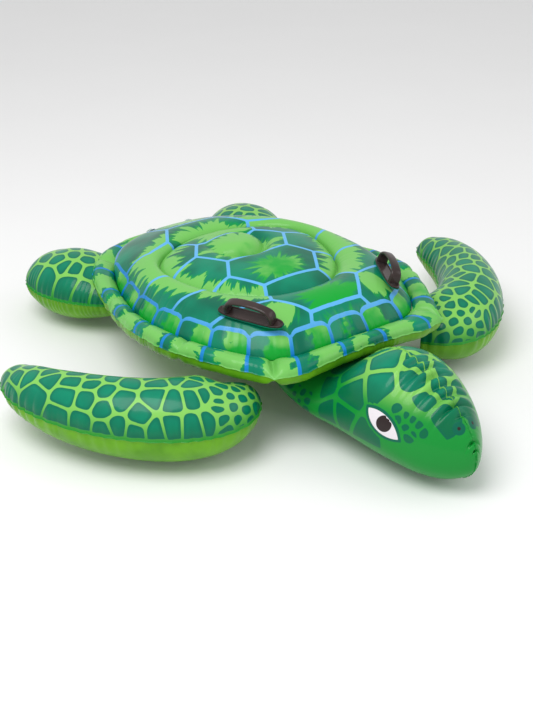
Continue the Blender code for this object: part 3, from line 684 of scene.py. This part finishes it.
def limbShape(limb, side, up):
    spine = np.array(limb["spine"])

    def middle(t):
        k = 1 - t
        return sum(w[:, None] * p for w, p in zip((k**3, 3 * t * k * k, 3 * t * t * k, t**3), spine))

    def shape(across, along):
        t = across
        here = middle(t)
        ahead = middle(np.minimum(t + 0.01, 1)) - middle(np.maximum(t - 0.01, 0))
        ahead /= np.linalg.norm(ahead, axis=1)[:, None]
        out = np.stack([ahead[:, 1], -ahead[:, 0]], 1)
        edge = limbSeam["share"]
        sweep = np.clip((along - edge) / (1 - 2 * edge), 0, 1) * math.pi
        beyond = (np.clip(edge - along, 0, 1) - np.clip(along - 1 + edge, 0, 1)) / edge * limbSeam["lip"]
        wide, tall = reading(limb["width"], t), reading(limb["height"], t)
        run = t * 0.72
        outerFolds = pucker(run, sweep * tall, 0.017, 0.034, 3.0 + side) * (0.35 + 0.9 * smoothStep(t, 0.55, 0.95))
        innerFolds = pucker(run, (math.pi - sweep) * tall, 0.026, 0.022, 6.0 + side) * 0.5
        shrink = 1 - 0.036 * (outerFolds + innerFolds) * np.clip(0.06 / np.maximum(tall, 0.02), 0.6, 2)
        scallop = limbSeam["ripple"] * np.sin(run / 0.0045 + 2 * np.sin(run / 0.03)) * np.abs(np.cos(sweep)) ** 6
        reach = np.where(np.cos(sweep) > 0, wide, wide + reading(limb["inner"], t))
        offset = reach * np.cos(sweep) * shrink + beyond + scallop * np.sign(np.cos(sweep))
        flat = here + out * offset[:, None]
        z = limb["z"] + up * (tall * np.sin(sweep) * shrink + 0.0004)
        return np.stack([flat[:, 0] * side, flat[:, 1], z], -1)
    return shape


def scuteField(points, seeds, soften=0.0034):
    # distance from a point to the border of the scute that it is in, with rounded corners
    near = np.linalg.norm(points[:, None, :] - seeds[None], axis=2)
    own = near.argmin(1)
    mine = near[np.arange(len(points)), own]
    apart = np.linalg.norm(seeds[own][:, None, :] - seeds[None], axis=2)
    with np.errstate(divide="ignore", invalid="ignore"):
        border = (near**2 - mine[:, None] ** 2) / (2 * apart)
    border[np.arange(len(points)), own] = 1.0
    least = border.min(1)
    return least - soften * np.log(np.exp(-(border - least[:, None]) / soften).sum(1)), own


def limbPrint(limb, side):
    shape = limbShape(limb, side, 1)
    stations = np.array([(row[0], angle / 180) for row in limb["scutes"] for angle in row[1:]])
    count = np.arange(len(stations))
    stations += np.stack([0.012 * np.sin(count * 7.3), 0.028 * np.sin(count * 4.1 + 1.0)], 1) * limb["jitter"]
    edge = limbSeam["share"]
    seeds = shape(stations[:, 0], edge + stations[:, 1] * (1 - 2 * edge))

    def printing(across, along):
        field, own = scuteField(shape(across, along), seeds)
        seamward = np.minimum(along, 1 - along)
        return {"scute": np.minimum(field - limb["netHalf"], (seamward - limbSeam["plain"]) * 0.22)}
    return printing


def outsideShell(points):
    # keeps what shows: a limb's root ends a little inside the shell's underside and rim
    x, y, z = points[:, 0], points[:, 1] - planY, points[:, 2]
    turn, radius = np.arctan2(x, -y), np.hypot(x, y)
    outs, ups = zip(*shell["belly"][1:])
    under = np.interp(z / seamZ(y), ups, outs)
    return radius > weldRadius(turn) * under - plan["rootDepth"]


for limb, bodySide in ((frontFlipper, 1), (frontFlipper, -1), (hindFlipper, 1), (hindFlipper, -1)):
    word = "left" if bodySide > 0 else "right"
    for up, panel in ((1, "top"), (-1, "bottom")):
        made = filmPanel(f"{limb['name']}_{word}_film_{panel}", limb["columns"], limb["rows"],
                         limbShape(limb, bodySide, up), (0.5 * bodySide, planY, limb["z"]),
                         limbPrint(limb, bodySide) if up > 0 else None, keep=outsideShell)
        settle(made, "float", finishes["flipper" if up > 0 else "lime"],
               "printed_flipper_film" if up > 0 else "lime_film", f"{limb['name']}_{word}_{panel}_panel", fill=0.95)
print("flippers made")

head = {
    # y, top, bottom and half width of each section, from the neck to the snout
    "sections": ((-0.270, 0.145, 0.075, 0.150), (-0.330, 0.152, 0.058, 0.158), (-0.380, 0.160, 0.044, 0.158),
                 (-0.430, 0.176, 0.032, 0.153), (-0.475, 0.216, 0.024, 0.148), (-0.520, 0.246, 0.018, 0.144),
                 (-0.575, 0.260, 0.014, 0.138), (-0.635, 0.254, 0.012, 0.126), (-0.690, 0.231, 0.013, 0.107),
                 (-0.735, 0.203, 0.020, 0.083), (-0.770, 0.172, 0.036, 0.055), (-0.795, 0.142, 0.056, 0.027),
                 (-0.805, 0.120, 0.074, 0.010), (-0.8075, 0.098, 0.096, 0.0)),
    "widest": 0.42, "ridge": 1.2, "columns": 230, "rows": 130,
    "seamShare": 0.02, "seamLip": 0.003, "ripple": 0.0011, "length": 0.62, "overCrown": 0.09, "underChin": 0.07,
    # half widths of the net, how far a lone scute reaches, corner rounding, and where the throat is left plain
    "netHalf": 0.0052, "netHalfSmall": 0.0024, "scuteReach": 0.048, "smallReach": 0.013, "soften": 0.0026,
    "throatFrom": 0.095, "throatLine": 0.085, "lidReach": 0.011,
    "scutes": ((0.040, -0.551, 0.246), (0.091, -0.595, 0.213), (0.042, -0.430, 0.172), (0.123, -0.444, 0.147),
               (0.125, -0.532, 0.176), (0.142, -0.530, 0.122), (0.135, -0.592, 0.098), (0.045, -0.645, 0.236),
               (0.0, -0.609, 0.256), (0.055, -0.692, 0.207), (0.045, -0.735, 0.186), (0.0, -0.690, 0.231),
               (0.150, -0.480, 0.110), (0.085, -0.490, 0.200), (0.0, -0.500, 0.236)),
    "small": ((0.098, -0.655, 0.188), (0.104, -0.668, 0.172), (0.096, -0.680, 0.180), (0.100, -0.690, 0.160),
              (0.090, -0.694, 0.174), (0.096, -0.706, 0.150), (0.084, -0.708, 0.166), (0.100, -0.700, 0.138),
              (0.082, -0.722, 0.155), (0.108, -0.672, 0.190)),
    # pleats across the crown's seam: station, length, depth
    "pleats": ((0.474, 0.035, 0.055), (0.508, 0.045, 0.085), (0.540, 0.050, 0.110), (0.573, 0.042, 0.120),
               (0.608, 0.055, 0.120), (0.645, 0.048, 0.130), (0.686, 0.052, 0.140), (0.730, 0.030, 0.090),
               (0.845, 0.055, 0.200), (0.905, 0.050, 0.220)),
    "pleatWidth": 0.0052,
    "eyeAt": (-0.636, 0.148), "eyeAlong": (-0.890, -0.456), "eyeHalf": 0.048, "eyeTall": 0.0195,
    "pupilAt": (-0.640, 0.150), "pupilRadius": 0.0182, "nostrilAt": (0.019, -0.766, 0.166), "nostrilRadius": 0.0145,
}


def headShape(side):
    table = np.array(head["sections"])
    stations = np.linspace(0, 1, len(table))

    def shape(across, along):
        y, top, low, wide = (reading(np.stack([stations, column], 1), across) for column in table.T)
        edge = head["seamShare"]
        sweep = math.pi / 2 - math.pi * np.clip((along - edge) / (1 - 2 * edge), 0, 1)
        beyond = (np.clip(edge - along, 0, 1) + np.clip(along - 1 + edge, 0, 1)) / edge * head["seamLip"]
        middle = low + (top - low) * head["widest"]
        rise = np.where(sweep > 0, top - middle, middle - low)
        spread = np.maximum(np.cos(sweep), 0) ** np.where(sweep > 0, head["ridge"], 1.0)
        run = across * head["length"]
        snout = smoothStep(across, 0.55, 0.85)
        ridge = smoothStep(across, 0.42, 0.60)
        upper = pucker(run, (math.pi / 2 - sweep) * head["overCrown"], 0.024, 0.044, 8.0) * (0.25 + 0.8 * ridge)
        fold = sum(deep * np.exp(-((across - at) * head["length"] / head["pleatWidth"]) ** 2
                                 - (np.maximum(math.pi / 2 - sweep, 0) * head["overCrown"] / long) ** 2)
                   for at, long, deep in head["pleats"])
        lower = pucker(run, (sweep + math.pi / 2) * head["underChin"], 0.022, 0.030, 9.0) * (0.3 + snout)
        shrink = 1 - 0.05 * (upper + lower) * (0.5 + 0.8 * snout)
        ruffle = head["ripple"] * np.sin(run / 0.0042 + np.sin(run / 0.021)) * beyond / head["seamLip"] \
            * smoothStep(sweep, 0.5, 1.5)
        x = side * (wide * spread * (shrink - fold * 0.6) + 0.0003) + ruffle
        z = middle + rise * np.sin(sweep) * (shrink - fold) + beyond * np.sign(np.sin(sweep))
        return np.stack([x, y - beyond * smoothStep(across, 0.9, 1.0) + fold * 0.03, z], -1)
    return shape


def headPrint(side):
    shape = headShape(side)
    small = np.array(head["small"])
    big = np.array(head["scutes"])
    neck = []
    for k in range(16):
        row, step = divmod(k, 4)
        neck.append((0.150 - 0.02 * (k % 2) * 0.2, -0.345 - 0.021 * row, 0.075 + 0.021 * step + 0.009 * (row % 2)))
    seeds = np.concatenate([big, small, np.array(neck)])

    def printing(across, along):
        points = shape(across, along) * (side, 1, 1)
        field, own = scuteField(points, seeds, head["soften"])
        isBig = own < len(big)
        net = np.where(isBig, head["netHalf"], head["netHalfSmall"])
        reach = np.linalg.norm(points - seeds[own], axis=1)
        plain = np.where(isBig, head["scuteReach"], head["smallReach"])
        field = np.minimum(field - net, plain - reach)
        throat = np.minimum(field, points[:, 2] - head["throatLine"])
        field = np.where((points[:, 2] < head["throatFrom"]) & isBig, throat, field)
        dy, dz = points[:, 1] - head["eyeAt"][0], points[:, 2] - head["eyeAt"][1]
        ey, ez = head["eyeAlong"]
        a, b = dy * ey + dz * ez, -dy * ez + dz * ey
        ring = (head["eyeHalf"] ** 2 + head["eyeTall"] ** 2) / (2 * head["eyeTall"])
        lens = ring - np.hypot(a, np.abs(b) + ring - head["eyeTall"])
        lens = np.where(points[:, 0] > 0.05, lens, -1.0)
        pupilY, pupilZ = head["pupilAt"]
        pupil = head["pupilRadius"] - np.hypot(points[:, 1] - pupilY, points[:, 2] - pupilZ)
        nostril = head["nostrilRadius"] - np.linalg.norm(points - np.array(head["nostrilAt"]), axis=1)
        field = np.where(lens > -head["lidReach"], -0.003, field)
        field = np.where(np.minimum(along, 1 - along) < 0.030, -0.004, field)
        return {"scute": field, "eye": lens, "pupil": np.where(lens > 0, pupil, -1.0), "nostril": nostril}
    return printing


for bodySide, word in ((1, "left"), (-1, "right")):
    made = filmPanel(f"head_{word}_film", head["columns"], head["rows"], headShape(bodySide),
                     (0, planY - 0.5, 0.12), headPrint(bodySide), keep=outsideShell)
    settle(made, "float", finishes["head"], "printed_head_film", f"head_{word}_panel", fill=0.95)
print("head made")

def moulded(name, bm, frameOfPiece, mirrored=False, soften=0.0):
    # handles and valves: rounds the sharp edges and sets the piece in its place
    bmesh.ops.remove_doubles(bm, verts=bm.verts, dist=1e-6)
    bmesh.ops.recalc_face_normals(bm, faces=bm.faces)
    if soften:
        sharp = [e for e in bm.edges if len(e.link_faces) == 2 and e.calc_face_angle() > 0.6]
        bmesh.ops.bevel(bm, geom=sharp, offset=soften, segments=3, profile=0.5, affect="EDGES", material=-1)
    bmesh.ops.transform(bm, matrix=frameOfPiece, verts=bm.verts)
    if mirrored:
        bmesh.ops.scale(bm, vec=(-1, 1, 1), verts=bm.verts)
        bmesh.ops.reverse_faces(bm, faces=bm.faces)
    mesh = bpy.data.meshes.new(name)
    bm.to_mesh(mesh)
    bm.free()
    mesh.shade_smooth()
    mesh.set_sharp_from_angle(angle=0.7)
    return placed(name, mesh)


handle = {
    # where the CAD's left handle stands, and which way it points
    "place": (0.20607, -0.17570, 0.27542), "ahead": (0.44420, 0.89565, 0.02233), "up": (0.24509, -0.14545, 0.95853),
    "length": 0.168, "width": 0.038, "waist": 0.10, "patchThick": 0.0012, "baseLow": 0.0015, "baseThick": 0.0045,
    "lip": 0.0035, "recess": 0.0018, "patchMargin": 0.003,
    "span": 0.128, "rise": 0.040, "square": 0.46, "thick": 0.0090, "thickFoot": 0.0115,
    "wide": 0.0220, "wideFoot": 0.029, "footZ": 0.0062,
}


def plate(length, width, low, thick, lip=0.0, recess=0.0):
    # a moulded plate with broad round ends and a slight waist
    bm = bmesh.new()
    bmesh.ops.create_circle(bm, cap_ends=True, segments=96, radius=1.0)
    for v in bm.verts:
        x, y = math.copysign(abs(v.co.x) ** 0.62, v.co.x), math.copysign(abs(v.co.y) ** 0.80, v.co.y)
        pinch = 1 - handle["waist"] * math.cos(y * math.pi / 2) ** 2
        v.co = (x * width / 2 * pinch, y * length / 2, low)
    top = bmesh.ops.extrude_face_region(bm, geom=bm.faces[:])["geom"]
    bmesh.ops.translate(bm, verts=[g for g in top if isinstance(g, bmesh.types.BMVert)], vec=(0, 0, thick))
    if lip:
        cap = [g for g in top if isinstance(g, bmesh.types.BMFace)]
        bmesh.ops.inset_region(bm, faces=cap, thickness=lip)
        bmesh.ops.inset_region(bm, faces=cap, thickness=lip * 0.4, depth=-recess)
    return bm


def bow():
    # an arched strap with rounded edges, broader at its feet
    bm = bmesh.new()
    bmesh.ops.create_grid(bm, x_segments=28, y_segments=72, size=1.0)
    for v in bm.verts:
        sweep, round_ = (v.co.y + 1) / 2 * math.pi, v.co.x * math.pi
        foot = abs(math.cos(sweep)) ** 6
        thick = handle["thick"] + (handle["thickFoot"] - handle["thick"]) * foot
        wide = handle["wide"] + (handle["wideFoot"] - handle["wide"]) * foot
        reach, rise = (handle["span"] - thick) / 2, handle["rise"] - thick / 2
        lift = max(math.sin(sweep), 0.0) ** handle["square"]
        slope = handle["square"] * math.cos(sweep) * max(math.sin(sweep), 0.02) ** (handle["square"] - 1)
        along = Vector((0, reach * math.sin(sweep), rise * slope)).normalized()
        out = Vector((0, -along.z, along.y))
        c, d = math.cos(round_), math.sin(round_)
        across = math.copysign(abs(c) ** 0.55, c) * wide / 2
        through = math.copysign(abs(d) ** 0.75, d) * thick / 2
        v.co = Vector((across, -reach * math.cos(sweep), handle["footZ"] + rise * lift)) + out * through
        v.co.z = max(v.co.z, handle["footZ"])
    bmesh.ops.remove_doubles(bm, verts=bm.verts, dist=1e-5)
    bmesh.ops.holes_fill(bm, edges=[e for e in bm.edges if e.is_boundary], sides=0)
    return bm


handleFrame = standing(handle["place"], handle["ahead"], handle["up"])
for word, mirrored in (("left", False), ("right", True)):
    long, wide, grown = handle["length"], handle["width"], handle["patchMargin"]
    patch = plate(long + grown, wide + grown, 0.0, handle["patchThick"])
    base = plate(long, wide, handle["baseLow"], handle["baseThick"], handle["lip"], handle["recess"])
    for part, bm, soften, finish, slotName, node in (
            ("weld_patch", patch, 0.0003, "patch", "printed_shell_film", "patch"),
            ("base_plate", base, 0.0007, "handle", "handle_vinyl", "base"),
            ("bow", bow(), 0.0, "handle", "handle_vinyl", "grip")):
        made = moulded(f"handle_{word}_{part}", bm, handleFrame, mirrored, soften)
        settle(made, "float", finishes[finish], slotName, f"handle_{word}_{node}")
print("handles made")


def turned(profile, sides=72, closed=True):
    # a profile of (radius, height) points spun round z
    bm = bmesh.new()
    points = [bm.verts.new((r, 0, z)) for r, z in profile]
    for here, there in zip(points, points[1:] + points[:1] if closed else points[1:]):
        bm.edges.new((here, there))
    bmesh.ops.spin(bm, geom=bm.verts[:] + bm.edges[:], cent=(0, 0, 0), axis=(0, 0, 1), angle=2 * math.pi,
                   steps=sides, use_merge=True)
    bmesh.ops.remove_doubles(bm, verts=bm.verts, dist=1e-6)
    return bm


def tether():
    # a strap bent from the plug's cap down to the stem
    t = valve["tether"]
    bm = bmesh.new()
    bmesh.ops.create_cube(bm, size=1.0)
    bmesh.ops.subdivide_edges(bm, edges=[e for e in bm.edges if abs(e.verts[0].co.x - e.verts[1].co.x) > 0.5],
                              cuts=24, use_grid_fill=True)
    for v in bm.verts:
        sweep, side, out = (v.co.x + 0.5) * math.pi, v.co.y * t["width"], v.co.z * t["thick"]
        v.co = (t["start"] + t["reach"] * math.sin(sweep) + math.sin(sweep) * out,
                side * (1 - 0.25 * math.sin(sweep)),
                t["low"] - (1 - math.cos(sweep)) / 2 * t["drop"] + math.cos(sweep) * out)
    return bm


for word, mirrored in (("shell", False), ("limb", True)):
    for part, bm, soften, body, node in (
            ("weld_flange", turned(valve["flange"]), 0.00015, "float", "flange"),
            ("tube", turned(valve["tube"]), 0.00012, f"{word}_stem", "stem"),
            ("stopper", turned(valve["stopper"], closed=False), 0.00015, f"{word}_plug", "plug"),
            ("tether_strap", tether(), 0.0, f"{word}_plug", "tether"),
            ("flap_disc", turned(valve["flap"], closed=False), 0.0, f"{word}_flap", "check_flap")):
        made = moulded(f"{word}_valve_{part}", bm, valveFrame, mirrored, soften)
        settle(made, body, finishes["valve"], "valve_vinyl", f"{word}_valve_{node}")
print("valves made")

# the inner webs that shape the ring and the seat keep their CAD shape, under the printed film
for web in ("outer_ring_baffle", "seat_baffle"):
    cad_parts[web].data.materials.clear()
    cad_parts[web].data.materials.append(finishes["inner"])

# floor, lights and camera
stage = {"floorSize": 14.0, "keyPower": 75.0, "fillPower": 20.0, "world": 0.72}
bm = bmesh.new()
bmesh.ops.create_grid(bm, x_segments=1, y_segments=1, size=stage["floorSize"])
bmesh.ops.translate(bm, verts=bm.verts, vec=(0, 0, cadLow.z - 0.0005))
floorMesh = bpy.data.meshes.new("floor")
bm.to_mesh(floorMesh)
bm.free()
floor = placed("floor", floorMesh)
floorFinish = Finish("paleFloor")
pale = floorFinish.mix(floorFinish.noise(2.0), inks["floor"], inks["floorLight"])
floorMesh.materials.append(floorFinish.surface(pale, 0.7))


def softBox(name, place, aim, size, power):
    light = bpy.data.lights.new(name, "AREA")
    light.shape = "DISK"
    light.size = size
    light.energy = power
    lamp = placed(name, light)
    lamp.location = place
    lamp.rotation_euler = (Vector(aim) - Vector(place)).to_track_quat("-Z", "Y").to_euler()


softBox("key", (-1.6, -0.6, 3.2), (0, 0, 0.1), 2.4, stage["keyPower"])
softBox("fill", (2.6, -2.4, 2.2), (0, 0, 0.1), 2.5, stage["fillPower"])
world = bpy.data.worlds.new("studio")
world.use_nodes = True
world.node_tree.nodes["Background"].inputs["Color"].default_value = (1.0, 1.0, 1.0, 1.0)
world.node_tree.nodes["Background"].inputs["Strength"].default_value = stage["world"]
bpy.context.scene.world = world
bpy.context.scene.view_settings.view_transform = "Standard"

view = {"azimuth": -35.46, "elevation": 29.08, "distance": 3.005, "lens": 58.23, "aside": 0.0206, "down": 0.139,
        "aimHeight": 0.15}
azimuth, elevation = math.radians(view["azimuth"]), math.radians(view["elevation"])
flat = math.cos(elevation)
back = Vector((math.sin(azimuth) * flat, -math.cos(azimuth) * flat, math.sin(elevation)))
right = Vector((math.cos(azimuth), math.sin(azimuth), 0))
cameraData = bpy.data.cameras.new("camera")
cameraData.lens = view["lens"]
camera = placed("camera", cameraData)
aim = Vector((0, planY, view["aimHeight"])) + right * view["aside"] - back.cross(right) * view["down"]
camera.location = aim + back * view["distance"]
camera.rotation_euler = (-back).to_track_quat("-Z", "Y").to_euler()
bpy.context.scene.camera = camera

print("scene ready")
